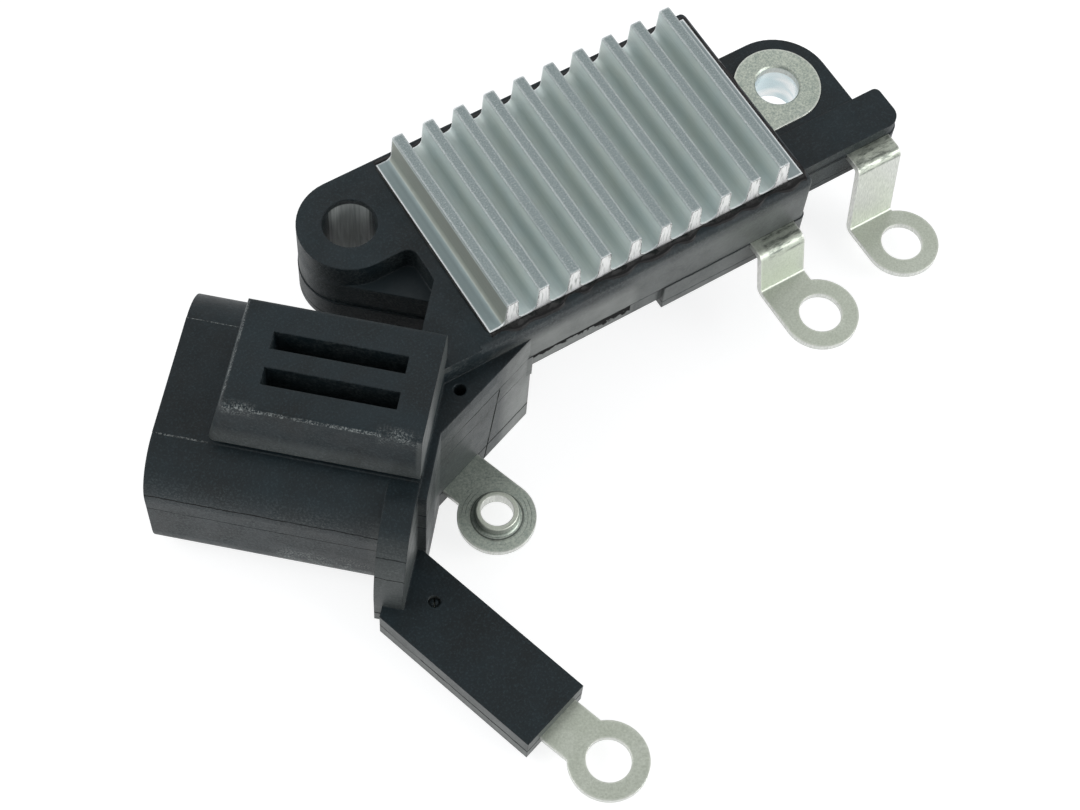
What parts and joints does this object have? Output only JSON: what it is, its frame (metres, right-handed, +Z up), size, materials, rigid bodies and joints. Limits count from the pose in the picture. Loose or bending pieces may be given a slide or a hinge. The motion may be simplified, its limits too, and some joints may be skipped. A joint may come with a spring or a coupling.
{
  "type": "alternator voltage regulator",
  "caption": "Black moulded alternator voltage regulator with a finned aluminium heat sink, fixing ears, ring terminals and a plug socket.",
  "frame": {"origin": "the ground bore's axis at the underside of the right ear", "axes": "+Z up along the ground bore, out through the fins' side; +X along the heat sink's long side from the left ear to the right ear; +Y along the fins away from the ring terminals"},
  "size_m": [0.1066, 0.0774, 0.0288],
  "materials": {
    "black_plastic": "satin",
    "aluminium": "satin",
    "black_silicone": "gloss",
    "plated_steel": "satin",
    "bright_steel": "satin",
    "tinned_brass": "satin",
    "white_ceramic": "matte",
    "copper": "satin",
    "chip_black": "satin",
    "capacitor_ceramic": "matte",
    "wire_aluminium": "satin",
    "clear_gel": "gloss"
  },
  "bodies": {
    "root": {"housing": "black_plastic", "heat_sink": "aluminium", "heat_sink_adhesive": "black_silicone", "upper_ring_terminal": "plated_steel", "lower_ring_terminal": "plated_steel", "flanged_terminal": "plated_steel", "arm_terminal": "plated_steel", "near_blade_terminal": "tinned_brass", "far_blade_terminal": "tinned_brass", "ground_plate": "plated_steel", "ear_bush": "bright_steel", "base_cover": "black_plastic", "ceramic_substrate": "white_ceramic", "heat_spreader": "copper", "power_transistor": "chip_black", "flyback_diode": "chip_black", "control_chip": "chip_black", "chip_capacitors": "capacitor_ceramic", "chip_resistors": "chip_black", "bond_wires": "wire_aluminium", "silicone_gel": "clear_gel"}
  },
  "joints": []
}
